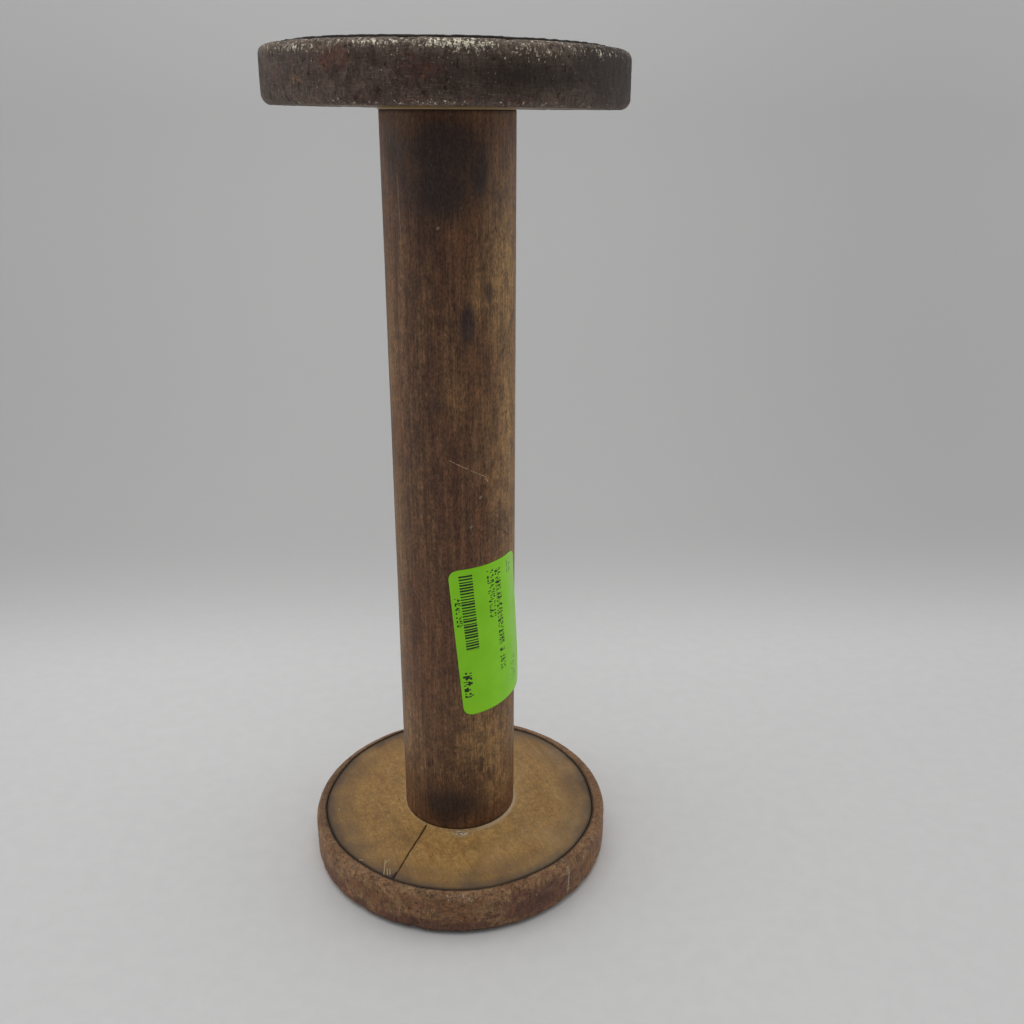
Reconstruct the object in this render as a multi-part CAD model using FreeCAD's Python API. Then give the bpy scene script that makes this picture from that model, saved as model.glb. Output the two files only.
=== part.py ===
import FreeCAD, Part
import math
import os

# An empty industrial yarn spool: a bored hardwood barrel between two laminated wooden heads. Each head
# has a rolled steel rim, and a flanged steel bushing that is screwed over the barrel's tenon.
# Lengths are in millimetres. The spool stands on its lower head, the origin is the centre of that end
# face, and +Z runs along the spindle axis. The upper end is the lower end turned over.

# Driving dimensions
overall_height = 254.0
head_radius = 49.5
head_thickness = 14.8
barrel_radius = 18.7
spindle_bore_radius = 6.5

# Heads: three cross-grained plies, a raised end face, and a low boss that the barrel's shoulder meets
plateau_radius = 43.5
plateau_height = 0.5
plateau_edge_radius = 0.4
boss_radius = barrel_radius + 0.3
boss_height = 0.5
ply_thickness = head_thickness / 3

# Rims: one steel sheet with a lip over each face of the head
rim_sheet = 0.8
rim_inner_lip_radius = 46.2
rim_inner_bend = 2.6
rim_outer_bend = 2.0

# Bushings: a tube pressed into the barrel's bore, with a flange let into the head's end face
bushing_wall = 2.0
bushing_reach = 25.0
flange_radius = 20.0
flange_thickness = 1.5
flange_recess = 1.8
bushing_mouth_radius = 1.2
flange_edge_radius = 0.4

# Barrel
barrel_bore_radius = spindle_bore_radius + bushing_wall
tenon_radius = 13.5

# Countersunk wood screws that hold each flange down
screw_count = 4
screw_circle_radius = 16.5
screw_head_radius = 2.75
screw_shank_radius = 1.3
screw_length = 12.5
screw_point_length = 2.0
screw_slot_width = 0.6
screw_slot_depth = 0.6

# Paper label stuck round the barrel. Its middle is turned from -Y towards +X, and its long sides lean.
label_length = 50.8
label_width = 25.4
label_thickness = 0.2
label_corner_radius = 3.0
label_middle_height = 85.7
label_middle_angle = math.radians(37.6)
label_lean = math.radians(4.9)

# Worked out from the driving dimensions
flange_face_height = flange_recess - flange_thickness
shoulder_height = head_thickness + boss_height
axis_foot = FreeCAD.Vector(0, 0, 0)
spool_centre = FreeCAD.Vector(0, 0, overall_height / 2)
up = FreeCAD.Vector(0, 0, 1)


def rounded_outline(corners):
    """A closed face in the XZ plane. Each corner is (radius from the axis, height, rounding radius)."""
    edges = []
    ends = []
    for i, (r, z, rounding) in enumerate(corners):
        here = FreeCAD.Vector(r, 0, z)
        back = FreeCAD.Vector(corners[i - 1][0], 0, corners[i - 1][1]) - here
        ahead = corners[(i + 1) % len(corners)]
        forth = FreeCAD.Vector(ahead[0], 0, ahead[1]) - here
        back.normalize()
        forth.normalize()
        half_turn = back.getAngle(forth) / 2
        setback = rounding / math.tan(half_turn)
        start = here + back * setback
        end = here + forth * setback
        if rounding > 0:
            inward = (back + forth).normalize()
            middle = here + inward * (rounding / math.sin(half_turn) - rounding)
            edges.append(Part.Arc(start, middle, end).toShape())
        ends.append((start, end))
    for i, (start, end) in enumerate(ends):
        edges.append(Part.makeLine(ends[i - 1][1], start))
    return Part.Face(Part.Wire(Part.__sortEdges__(edges)))


def turned(corners):
    """A solid of revolution about the spindle axis."""
    return rounded_outline(corners).revolve(axis_foot, up, 360)


def turned_over(shape):
    """The same piece at the other end of the spool."""
    other = shape.copy()
    other.rotate(spool_centre, FreeCAD.Vector(0, 1, 0), 180)
    return other


def around(shape, count):
    """Equal copies of a solid, spaced evenly about the spindle axis."""
    copies = []
    for i in range(count):
        copy = shape.copy()
        copy.rotate(axis_foot, up, 360 * i / count)
        copies.append(copy)
    return Part.makeCompound(copies)


def make_barrel():
    far = overall_height
    return turned([
        (barrel_bore_radius, flange_recess, 0),
        (tenon_radius, flange_recess, 0),
        (tenon_radius, shoulder_height, 0),
        (barrel_radius, shoulder_height, 0),
        (barrel_radius, far - shoulder_height, 0),
        (tenon_radius, far - shoulder_height, 0),
        (tenon_radius, far - flange_recess, 0),
        (barrel_bore_radius, far - flange_recess, 0),
    ])


def make_rim():
    inside_radius = head_radius - rim_sheet
    return turned([
        (rim_inner_lip_radius, head_thickness, 0),
        (head_radius, head_thickness, rim_inner_bend),
        (head_radius, plateau_height, rim_outer_bend),
        (plateau_radius, plateau_height, 0),
        (plateau_radius, plateau_height + rim_sheet, 0),
        (inside_radius, plateau_height + rim_sheet, rim_outer_bend - rim_sheet),
        (inside_radius, head_thickness - rim_sheet, rim_inner_bend - rim_sheet),
        (rim_inner_lip_radius, head_thickness - rim_sheet, 0),
    ])


def make_outer_ply(screws):
    inside_radius = head_radius - rim_sheet
    ply = turned([
        (tenon_radius, flange_recess, 0),
        (flange_radius, flange_recess, 0),
        (flange_radius, 0, 0),
        (plateau_radius, 0, plateau_edge_radius),
        (plateau_radius, plateau_height + rim_sheet, 0),
        (inside_radius, plateau_height + rim_sheet, rim_outer_bend - rim_sheet),
        (inside_radius, ply_thickness, 0),
        (tenon_radius, ply_thickness, 0),
    ])
    return ply.cut(screws)


def make_core_ply(screws):
    inside_radius = head_radius - rim_sheet
    ply = turned([
        (tenon_radius, ply_thickness, 0),
        (inside_radius, ply_thickness, 0),
        (inside_radius, 2 * ply_thickness, 0),
        (tenon_radius, 2 * ply_thickness, 0),
    ])
    return ply.cut(screws)


def make_inner_ply(screws):
    inside_radius = head_radius - rim_sheet
    ply = turned([
        (tenon_radius, 2 * ply_thickness, 0),
        (inside_radius, 2 * ply_thickness, 0),
        (inside_radius, head_thickness - rim_sheet, rim_inner_bend - rim_sheet),
        (rim_inner_lip_radius, head_thickness - rim_sheet, 0),
        (rim_inner_lip_radius, head_thickness, 0),
        (boss_radius, head_thickness, 0),
        (boss_radius, shoulder_height, 0),
        (tenon_radius, shoulder_height, 0),
    ])
    return ply.cut(screws)


def make_bushing(screws):
    sleeve_end = flange_recess + bushing_reach
    bushing = turned([
        (spindle_bore_radius, flange_face_height, bushing_mouth_radius),
        (flange_radius, flange_face_height, flange_edge_radius),
        (flange_radius, flange_recess, 0),
        (barrel_bore_radius, flange_recess, 0),
        (barrel_bore_radius, sleeve_end, 0),
        (spindle_bore_radius, sleeve_end, 0),
    ])
    return bushing.cut(screws)


def make_plain_screw():
    """A countersunk screw without its slot, so that the holes cut with it fit it."""
    cone_depth = screw_head_radius - screw_shank_radius
    shank_length = screw_length - cone_depth - screw_point_length
    head = Part.makeCone(screw_head_radius, screw_shank_radius, cone_depth)
    shank = Part.makeCylinder(screw_shank_radius, shank_length, FreeCAD.Vector(0, 0, cone_depth))
    foot = FreeCAD.Vector(0, 0, cone_depth + shank_length)
    point = Part.makeCone(screw_shank_radius, 0, screw_point_length, foot)
    screw = head.fuse([shank, point]).removeSplitter().Solids[0]
    screw.translate(FreeCAD.Vector(screw_circle_radius, 0, flange_face_height))
    return screw


def make_slotted_screw():
    reach = 2 * screw_head_radius
    corner = FreeCAD.Vector(
        screw_circle_radius - reach / 2,
        -screw_slot_width / 2,
        flange_face_height,
    )
    slot = Part.makeBox(reach, screw_slot_width, screw_slot_depth, corner)
    return make_plain_screw().cut(slot).Solids[0]


def label_outline():
    """The label laid flat: for each corner its tangent points and its sharp corner, as (along, up)."""
    turns = []
    signs = [(-1, -1), (1, -1), (1, 1), (-1, 1)]
    for i, (across, upward) in enumerate(signs):
        corner_x = across * label_width / 2
        corner_y = upward * label_length / 2
        beside = (corner_x - across * label_corner_radius, corner_y)
        above = (corner_x, corner_y - upward * label_corner_radius)
        first, last = (above, beside) if i % 2 == 0 else (beside, above)
        turns.append((first, (corner_x, corner_y), last))
    return turns


def label_point(flat, radius):
    """A point of the flat label as (angle, height) on a cylinder of this radius."""
    across = flat[0] * math.cos(label_lean) - flat[1] * math.sin(label_lean)
    upward = flat[0] * math.sin(label_lean) + flat[1] * math.cos(label_lean)
    return FreeCAD.Base.Vector2d(across / barrel_radius, label_middle_height + upward)


def label_edges(radius):
    """The label's outline on a cylinder, as edges in order. Angle 0 is the label's middle."""
    surface = Part.Cylinder()
    surface.Radius = radius
    edges = []
    turns = label_outline()
    for i, turn in enumerate(turns):
        start, corner, end = [label_point(flat, radius) for flat in turn]
        bend = Part.Geom2d.BezierCurve2d()
        bend.setPoles([start, corner, end])
        bend.setWeight(2, math.cos(math.pi / 4))
        edges.append(bend.toShape(surface))
        following = label_point(turns[(i + 1) % len(turns)][0], radius)
        side = Part.Geom2d.Line2dSegment(end, following)
        edges.append(side.toShape(surface))
    return surface, edges


def make_price_label():
    """Paper wrapped on the barrel: two cylindrical faces joined round their edges."""
    inner_surface, inner_edges = label_edges(barrel_radius)
    outer_surface, outer_edges = label_edges(barrel_radius + label_thickness)
    faces = [Part.makeRuledSurface(a, b) for a, b in zip(inner_edges, outer_edges)]
    faces.append(Part.Face(inner_surface, Part.Wire(inner_edges)))
    faces.append(Part.Face(outer_surface, Part.Wire(outer_edges)))
    shell = Part.Shell([face for shape in faces for face in shape.Faces])
    label = Part.Solid(shell)
    label.fix(1e-6, 1e-6, 1e-6)
    if label.Volume < 0:
        label.reverse()
    label.rotate(axis_foot, up, -90 + math.degrees(label_middle_angle))
    return label


def main():
    screw_holes = around(make_plain_screw(), screw_count)
    screws = around(make_slotted_screw(), screw_count)
    end_pieces = {
        "rim": make_rim(),
        "head_outer_ply": make_outer_ply(screw_holes),
        "head_core_ply": make_core_ply(screw_holes),
        "head_inner_ply": make_inner_ply(screw_holes),
        "bushing": make_bushing(screw_holes),
        "bushing_screws": screws,
    }
    nodes = {"barrel": make_barrel(), "price_label": make_price_label()}
    for name, shape in end_pieces.items():
        nodes["lower_" + name] = shape
        nodes["upper_" + name] = turned_over(shape)
    os.makedirs("parts", exist_ok=True)
    for name, shape in nodes.items():
        shape.exportStep("parts/" + name + ".step")
        print(name, "solids", len(shape.Solids), "valid", shape.isValid(), "volume", round(shape.Volume, 1))


main()
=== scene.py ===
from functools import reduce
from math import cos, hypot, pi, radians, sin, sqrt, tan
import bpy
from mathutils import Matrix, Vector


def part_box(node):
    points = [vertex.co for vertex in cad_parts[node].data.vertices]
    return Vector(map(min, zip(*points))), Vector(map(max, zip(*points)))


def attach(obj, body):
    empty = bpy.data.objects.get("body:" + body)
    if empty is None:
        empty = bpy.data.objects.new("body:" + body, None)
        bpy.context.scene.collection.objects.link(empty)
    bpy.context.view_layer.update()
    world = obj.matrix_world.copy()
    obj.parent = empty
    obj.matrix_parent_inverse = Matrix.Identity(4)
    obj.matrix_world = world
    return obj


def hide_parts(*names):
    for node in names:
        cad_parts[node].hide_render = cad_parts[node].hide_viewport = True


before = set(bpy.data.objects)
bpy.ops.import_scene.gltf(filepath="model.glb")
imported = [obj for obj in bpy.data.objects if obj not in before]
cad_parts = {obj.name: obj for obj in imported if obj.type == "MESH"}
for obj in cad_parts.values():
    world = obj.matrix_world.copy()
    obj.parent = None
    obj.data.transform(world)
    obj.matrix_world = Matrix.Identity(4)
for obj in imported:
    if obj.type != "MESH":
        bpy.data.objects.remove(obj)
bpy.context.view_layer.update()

# The looks of an empty industrial yarn spool: a turned wooden barrel, laminated heads with worn steel
# rims, steel bushings, and a green paper label. Lengths are in metres unless a name says otherwise.
# An azimuth is measured about the spindle axis, from -Y (the front) towards +X.
from types import SimpleNamespace

import bpy
import numpy as np
from mathutils import Matrix, Vector, noise

MM = 0.001

# Sizes that the frame's boxes give
rim_low, rim_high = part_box("lower_rim")
ply_low, ply_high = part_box("lower_head_inner_ply")
barrel_low, barrel_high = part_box("barrel")
label_low, label_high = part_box("price_label")
spool_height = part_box("upper_head_outer_ply")[1].z
head_radius = rim_high.x
head_thickness = rim_high.z
shoulder_height = ply_high.z
barrel_radius = barrel_high.x
plateau_height = rim_low.z
inner_ply_foot = ply_low.z
outer_ply_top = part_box("lower_head_outer_ply")[1].z
ply_radius = ply_high.x
flange_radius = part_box("lower_bushing")[1].x
rim_sheet = head_radius - ply_radius

# Sizes of the CAD model that its boxes don't give
tenon_radius = 13.5 * MM
barrel_bore_radius = 8.5 * MM
flange_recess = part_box("lower_bushing_screws")[0].z + 1.5 * MM
rim_inner_bend = 2.6 * MM
rim_outer_bend = 2.0 * MM
lip_radius = 46.2 * MM
plateau_radius = 43.5 * MM
boss_radius = barrel_radius + 0.3 * MM
label_length = 50.8 * MM
label_width = 25.4 * MM
label_corner = 3 * MM
label_azimuth = radians(37.6)
label_lean = radians(4.9)

# How age and hand work have changed the heads and the label
upper_head_tilt = 0.0095
lower_rim_swell = 0.4 * MM
lower_rim_drift = 0.35 * MM
lower_rim_dent = 0.4 * MM
upper_rim_swell = -0.4 * MM
upper_rim_wear = 0.5 * MM
upper_rim_dent = 0.5 * MM
upper_end_swell = 0.35 * MM
label_lift = 1.25 * MM
crack_start = Vector((-11.6, -15.3)) * MM
crack_end = Vector((-21.5, -40.4)) * MM
head_grain_azimuth = radians(-19.6)


# ---------- meshes

def smoothstep(value, low, high):
    t = np.clip((value - low) / (high - low), 0, 1)
    return t * t * (3 - 2 * t)


def rise(value, low, high):
    """A smoothstep whose two ends are in millimetres."""
    return smoothstep(value, low * MM, high * MM)


def fractal(x, y, z, size, octaves, seed):
    """Fractal noise at each point, about -1 to 1, for features of this size."""
    flat = np.stack([x, y, z], -1).reshape(-1, 3) / size + seed
    values = [noise.fractal(p, 1.0, 2.0, octaves) for p in flat]
    return np.array(values).reshape(np.shape(x))


def outline(corners):
    """A closed outline as (radius, height) points. A corner is (radius, height, rounding, step after it)."""
    points = []
    tangents = []
    for i, (r, z, rounding, _) in enumerate(corners):
        here = Vector((r, z))
        back = (Vector(corners[i - 1][:2]) - here).normalized()
        forth = (Vector(corners[(i + 1) % len(corners)][:2]) - here).normalized()
        half_turn = back.angle(forth) / 2
        setback = rounding / tan(half_turn)
        centre = here + (back + forth).normalized() * (rounding / sin(half_turn))
        start = here + back * setback
        end = here + forth * setback
        bend = [start]
        if rounding > 0:
            count = max(4, int(rounding * (pi - 2 * half_turn) / (0.35 * MM)))
            arms = start - centre, end - centre
            for k in range(1, count):
                arm = arms[0].lerp(arms[1], k / count)
                bend.append(centre + arm.normalized() * rounding)
            bend.append(end)
        tangents.append(bend)
    for i, bend in enumerate(tangents):
        points += bend
        ahead = tangents[(i + 1) % len(tangents)][0]
        run = ahead - bend[-1]
        count = max(1, round(run.length / corners[i][3]))
        points += [bend[-1] + run * k / count for k in range(1, count)]
    return np.array([tuple(p) for p in points])


def new_piece(name, points, faces, material, masks=None):
    mesh = bpy.data.meshes.new(name)
    mesh.from_pydata(points, [], faces)
    mesh.validate()
    for mask, values in (masks or {}).items():
        layer = mesh.attributes.new(mask, "FLOAT", "POINT")
        layer.data.foreach_set("value", np.asarray(values, dtype=np.float32).ravel())
    mesh.polygons.foreach_set("use_smooth", [True] * len(mesh.polygons))
    mesh.materials.append(material)
    piece = bpy.data.objects.new(name, mesh)
    bpy.context.scene.collection.objects.link(piece)
    return piece


def lathe(name, profile, angles, material, sculpt):
    """A closed turned ring. sculpt(x, y, r, z, azimuth) gives each point's new r and z, and its masks."""
    azimuth, r = np.meshgrid(angles, profile[:, 0])
    z = np.meshgrid(angles, profile[:, 1])[1]
    r, z, masks = sculpt(r * np.sin(azimuth), -r * np.cos(azimuth), r, z, azimuth)
    points = np.stack([r * np.sin(azimuth), -r * np.cos(azimuth), z], -1).reshape(-1, 3)
    corner = np.arange(r.size).reshape(r.shape)
    beside = np.roll(corner, -1, 1)
    faces = np.stack([corner, beside, np.roll(beside, -1, 0), np.roll(corner, -1, 0)], -1).reshape(-1, 4)
    area = (r * np.roll(z, -1, 0) - np.roll(r, -1, 0) * z)[:, 0].sum()
    if area < 0:
        faces = faces[:, ::-1]
    return new_piece(name, points.tolist(), faces.tolist(), material, masks)


def even_angles(count):
    return np.arange(count) * (2 * pi / count)


def signed_degrees(azimuth):
    """The azimuth in degrees, from -180 to 180."""
    return (np.degrees(azimuth) + 180) % 360 - 180


def blobs(azimuth, z, marks):
    """The strongest of several soft round marks at each point."""
    total = np.zeros_like(azimuth)
    for middle, height, half_width, half_height, strength in marks:
        across = signed_degrees(azimuth - radians(middle)) / half_width
        upward = (z / MM - height) / half_height
        total = np.maximum(total, strength * np.exp(-(across ** 2 + upward ** 2)))
    return total


# ---------- materials

class Shader:
    """Builds one material's nodes. Values are sockets or plain numbers; lengths are in millimetres."""

    def __init__(self, name):
        self.material = bpy.data.materials.new(name)
        self.material.use_nodes = True
        self.nodes = self.material.node_tree.nodes
        self.links = self.material.node_tree.links
        self.surface = self.nodes["Principled BSDF"]
        place = self.add("ShaderNodeTexCoord").outputs["Object"]
        self.place = self.vector("SCALE", place, scale=1 / MM)
        parts = self.add("ShaderNodeSeparateXYZ", {0: self.place}).outputs
        self.x, self.y, self.z = parts[0], parts[1], parts[2]

    def add(self, kind, inputs=None, **settings):
        node = self.nodes.new(kind)
        for setting, value in settings.items():
            setattr(node, setting, value)
        for key, value in (inputs or {}).items():
            self.feed(node.inputs[key], value)
        return node

    def feed(self, socket, value):
        if isinstance(value, bpy.types.NodeSocket):
            self.links.new(value, socket)
        else:
            socket.default_value = value

    def math(self, operation, a, b=0.0, c=0.0):
        return self.add("ShaderNodeMath", {0: a, 1: b, 2: c}, operation=operation).outputs[0]

    def vector(self, operation, a, b=(0, 0, 0), scale=1.0):
        node = self.add("ShaderNodeVectorMath", {0: a, 1: b, 3: scale}, operation=operation)
        return node.outputs[0]

    def times(self, *values):
        return reduce(lambda a, b: self.math("MULTIPLY", a, b), values)

    def plus(self, *values):
        return reduce(lambda a, b: self.math("ADD", a, b), values)

    def weighted(self, *terms):
        """The sum of (value, weight) pairs."""
        return self.plus(*[self.times(value, weight) for value, weight in terms])

    def steps(self, value, low, high, to_low=0.0, to_high=1.0):
        """A smooth rise from to_low to to_high as value goes from low to high."""
        inputs = {"Value": value, "From Min": low, "From Max": high, "To Min": to_low, "To Max": to_high}
        return self.add("ShaderNodeMapRange", inputs, interpolation_type="SMOOTHSTEP").outputs[0]

    def noise(self, size, stretch=(1, 1, 1), detail=3.0, roughness=0.55, distortion=0.0, where=None):
        """Noise from 0 to 1, with features of this size, drawn out along each axis by stretch."""
        squeeze = [1 / (size * s) for s in stretch]
        inputs = {
            "Vector": self.vector("MULTIPLY", where or self.place, squeeze),
            "Scale": 1.0,
            "Detail": detail,
            "Roughness": roughness,
            "Distortion": distortion,
        }
        return self.add("ShaderNodeTexNoise", inputs).outputs[0]

    def mix(self, factor, a, b, blend="MIX"):
        node = self.add("ShaderNodeMix", data_type="RGBA", blend_type=blend)
        self.feed(node.inputs[0], factor)
        for socket, colour in ((node.inputs[6], a), (node.inputs[7], b)):
            if not isinstance(colour, bpy.types.NodeSocket):
                colour = (*colour, 1.0)
            self.feed(socket, colour)
        return node.outputs[2]

    def over(self, base, colour, *shares):
        """The base with a share of another colour over it. The shares are multiplied."""
        return self.mix(self.times(*shares), base, colour)

    def toned(self, colour, value, low, high):
        """The colour made darker or lighter as value goes from 0.38 to 0.62."""
        tone = self.mix(self.steps(value, 0.38, 0.62), [low] * 3, [high] * 3)
        return self.mix(1.0, colour, tone, "MULTIPLY")

    def mask(self, name):
        return self.add("ShaderNodeAttribute", attribute_name=name).outputs["Fac"]

    def ragged(self, mask, breakup, amount, low, high):
        """A soft mask given the ragged edge of a noise."""
        pushed = self.math("MULTIPLY_ADD", self.math("SUBTRACT", breakup, 0.5), amount, mask)
        return self.steps(pushed, low, high)

    def segment(self, across, upward, start, end, half_width):
        """1 on a thin line between two points of a flattened surface, 0 away from it."""
        length = hypot(end[0] - start[0], end[1] - start[1])
        along = ((end[0] - start[0]) / length, (end[1] - start[1]) / length)
        dx = self.math("SUBTRACT", across, start[0])
        dy = self.math("SUBTRACT", upward, start[1])
        run = self.plus(self.times(dx, along[0]), self.times(dy, along[1]))
        side = self.math("SUBTRACT", self.times(dx, along[1]), self.times(dy, along[0]))
        over = self.math("SUBTRACT", run, self.math("MINIMUM", self.math("MAXIMUM", run, 0.0), length))
        distance = self.math("SQRT", self.plus(self.times(side, side), self.times(over, over)))
        return self.steps(distance, half_width, half_width * 0.3)

    def finish(self, colour, roughness, height, metallic=0.0, **constants):
        """Height is in millimetres."""
        bump = self.add("ShaderNodeBump", {"Height": height, "Distance": MM, "Strength": 1.0})
        self.feed(self.surface.inputs["Normal"], bump.outputs[0])
        self.feed(self.surface.inputs["Base Color"], colour)
        self.feed(self.surface.inputs["Roughness"], roughness)
        self.feed(self.surface.inputs["Metallic"], metallic)
        for name, value in constants.items():
            self.surface.inputs[name.replace("_", " ")].default_value = value
        return self.material


def barrel_grain(s):
    """Noise for turned wood, most of it drawn out along the spindle axis."""
    pore_noise = s.noise(0.45, (1, 1, 5), detail=2, roughness=0.5)
    return SimpleNamespace(
        fibre=s.noise(0.55, (1, 1, 12), detail=4, roughness=0.7),
        line=s.noise(0.9, (1, 1, 26), detail=3, roughness=0.6, distortion=0.3),
        streak=s.noise(2.4, (1, 1, 12), detail=4, roughness=0.65, distortion=0.8),
        cloud=s.noise(13, (1, 1, 1.8), detail=4, roughness=0.6),
        mottle=s.noise(2.8, (1, 1, 1.4), detail=5, roughness=0.7),
        fleck=s.noise(0.5, (1, 1, 2.2), detail=3, roughness=0.7),
        pores=s.steps(pore_noise, 0.60, 0.72),
    )


def barrel_wood(s, grain):
    """Streaked wood, tanned, reddened and shaded where the masks say."""
    dark_streak, light_streak = (0.152, 0.069, 0.035), (0.236, 0.126, 0.062)
    base = s.mix(s.steps(grain.streak, 0.34, 0.66), dark_streak, light_streak)
    base = s.over(base, (0.130, 0.058, 0.034), s.steps(grain.cloud, 0.42, 0.70), 0.6)
    base = s.over(base, (0.385, 0.222, 0.088), s.mask("tan"), s.steps(grain.mottle, 0.2, 0.55))
    base = s.over(base, (0.155, 0.058, 0.030), s.mask("red"), s.steps(grain.mottle, 0.3, 0.6), 0.75)
    base = s.toned(base, grain.mottle, 0.82, 1.18)
    base = s.toned(base, grain.line, 0.80, 1.15)
    return s.over(base, (0.070, 0.038, 0.026), s.mask("shade"), s.steps(grain.mottle, 0.75, 0.3), 0.8)


def barrel_stains(s, grain, base):
    """Oil stains and dark spots, with the finest of the grain over them."""
    stain_edge = s.weighted((grain.mottle, 0.7), (grain.fleck, 0.3))
    stain = s.ragged(s.mask("stain"), stain_edge, 0.8, 0.1, 0.8)
    base = s.over(base, (0.046, 0.031, 0.028), stain, 0.88)
    spot_edge = s.weighted((grain.mottle, 0.6), (grain.fleck, 0.4))
    spot = s.ragged(s.mask("spot"), spot_edge, 0.6, 0.25, 0.75)
    base = s.over(base, (0.040, 0.029, 0.030), spot, 0.7)
    base = s.over(base, (0.050, 0.026, 0.016), s.steps(grain.fibre, 0.50, 0.30), 0.36)
    base = s.toned(base, grain.fleck, 0.72, 1.28)
    base = s.over(base, (0.030, 0.017, 0.011), grain.pores, 0.6)
    light_fleck = s.steps(s.noise(0.6, (1, 1, 1.6), detail=1), 0.73, 0.80)
    return s.over(base, (0.48, 0.34, 0.20), light_fleck, 0.35)


def barrel_scratches(s, base):
    """Thin marks between points, in mm round the barrel and up. Gives the colour and the deep scratch."""
    angle = s.math("ARCTAN2", s.x, s.times(s.y, -1.0))
    around = s.times(angle, barrel_radius / MM)
    breaks = s.steps(s.noise(0.7, detail=2), 0.35, 0.55)
    scratch = s.times(s.segment(around, s.z, (-1.2, 144.8), (9.7, 138.9), 0.2), breaks)
    upper_scratch = s.times(s.segment(around, s.z, (-15.3, 223.0), (-14.7, 206.0), 0.18), 0.35)
    tick = s.segment(around, s.z, (9.6, 138.4), (10.3, 137.3), 0.26)
    pale_marks = s.plus(scratch, upper_scratch, tick)
    base = s.over(base, (0.62, 0.42, 0.26), pale_marks, 0.75)
    dark_marks = [
        ((15.4, 173.5), (17.8, 177.5)),
        ((9.5, 124.5), (20.0, 117.5)),
        ((20.0, 114.0), (22.6, 115.8)),
    ]
    for start, end in dark_marks:
        mark = s.times(s.segment(around, s.z, start, end, 0.7), breaks)
        base = s.over(base, (0.04, 0.025, 0.018), mark, 0.6)
    for left, low in ((-3.3, 209.3), (4.6, 123.7), (7.7, 132.7)):
        dot = s.segment(around, s.z, (left, low), (left + 0.3, low + 0.3), 0.5)
        base = s.over(base, (0.50, 0.40, 0.30), dot, 0.45)
    return base, scratch


def barrel_material():
    s = Shader("turned_barrel_wood")
    grain = barrel_grain(s)
    base = barrel_wood(s, grain)
    base = barrel_stains(s, grain, base)
    base, scratch = barrel_scratches(s, base)
    base = s.over(base, (0.02, 0.013, 0.01), s.mask("groove"), 0.85)
    rough = s.plus(s.steps(grain.mottle, 0.3, 0.7, 0.42, 0.60), s.times(grain.pores, 0.12))
    height = s.weighted(
        (grain.fibre, 0.05), (grain.streak, 0.04), (grain.pores, -0.05), (grain.fleck, 0.03),
        (scratch, -0.04),
    )
    return s.finish(base, rough, height, Specular_IOR_Level=0.28)


def head_grain(s):
    """Noise for a flat face, most of it drawn out along the grain of the wood."""
    turning = {"Vector": s.place, "Angle": head_grain_azimuth}
    turned = s.add("ShaderNodeVectorRotate", turning, rotation_type="Z_AXIS").outputs[0]
    pore_noise = s.noise(0.4, (1, 4, 1), detail=2, where=turned)
    return SimpleNamespace(
        fibre=s.noise(0.5, (1, 14, 1), detail=4, roughness=0.7, where=turned),
        band=s.noise(3.0, (1, 7, 1), detail=4, roughness=0.65, distortion=0.9, where=turned),
        cloud=s.noise(11, detail=4, roughness=0.6),
        mottle=s.noise(2.2, detail=5, roughness=0.7),
        fleck=s.noise(0.5, (1, 2, 1), detail=3, roughness=0.7, where=turned),
        pores=s.steps(pore_noise, 0.62, 0.74),
        speckle=s.noise(0.9, detail=4, roughness=0.75),
    )


def head_wood(s, grain, shade):
    """Face grain without its dirt. A lower shade makes it darker: painted shade on the upper inner face, and
    darker grimy wood on the end faces.
    """
    light = [c * shade for c in (0.470, 0.280, 0.095)]
    mid = [c * shade for c in (0.400, 0.215, 0.066)]
    dark = [c * shade for c in (0.270, 0.150, 0.060)]
    base = s.mix(s.steps(grain.band, 0.3, 0.7), light, mid)
    base = s.over(base, dark, s.steps(grain.cloud, 0.46, 0.74), 0.65)
    # Painted light: the face is lightened near the barrel, where the barrel shades it.
    base = s.mix(s.mask("painted_light_near_barrel"), base, [c * 1.3 for c in light])
    base = s.toned(base, grain.mottle, 0.86, 1.12)
    base = s.over(base, dark, s.steps(grain.fibre, 0.5, 0.28), 0.35)
    base = s.toned(base, grain.fleck, 0.84, 1.16)
    return s.over(base, (0.09, 0.045, 0.02), grain.pores, 0.45)


def head_dirt_and_shade(s, grain, base):
    """Ground-in dirt, with painted shade where the mask says, dark grooves, and pale edges with a painted
    highlight. Gives the colour and how dark each point is from dirt and painted shade.
    """
    breakup = s.weighted((grain.mottle, 0.35), (grain.fleck, 0.25), (grain.speckle, 0.4))
    # Dirt, and on the inner faces painted shade towards the rim and at the barrel's foot.
    grime_and_shade = s.ragged(s.mask("grime_and_shade"), breakup, 2.0, 0.15, 0.95)
    black_dirt, brown_dirt = (0.072, 0.053, 0.048), (0.132, 0.095, 0.069)
    dirt = s.mix(s.steps(grain.speckle, 0.4, 0.6), black_dirt, brown_dirt)
    base = s.over(base, dirt, grime_and_shade, 0.85)
    base = s.over(base, (0.018, 0.013, 0.010), s.mask("groove"), 0.93)
    # Pale glue bead and boss edge, with a painted highlight on the lit right side.
    base = s.over(base, (0.66, 0.50, 0.32), s.mask("pale_and_highlight"), 0.85)
    specks = s.steps(s.noise(0.7, detail=1), 0.74, 0.79)
    return s.over(base, (0.05, 0.03, 0.02), specks, 0.6), grime_and_shade


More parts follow.
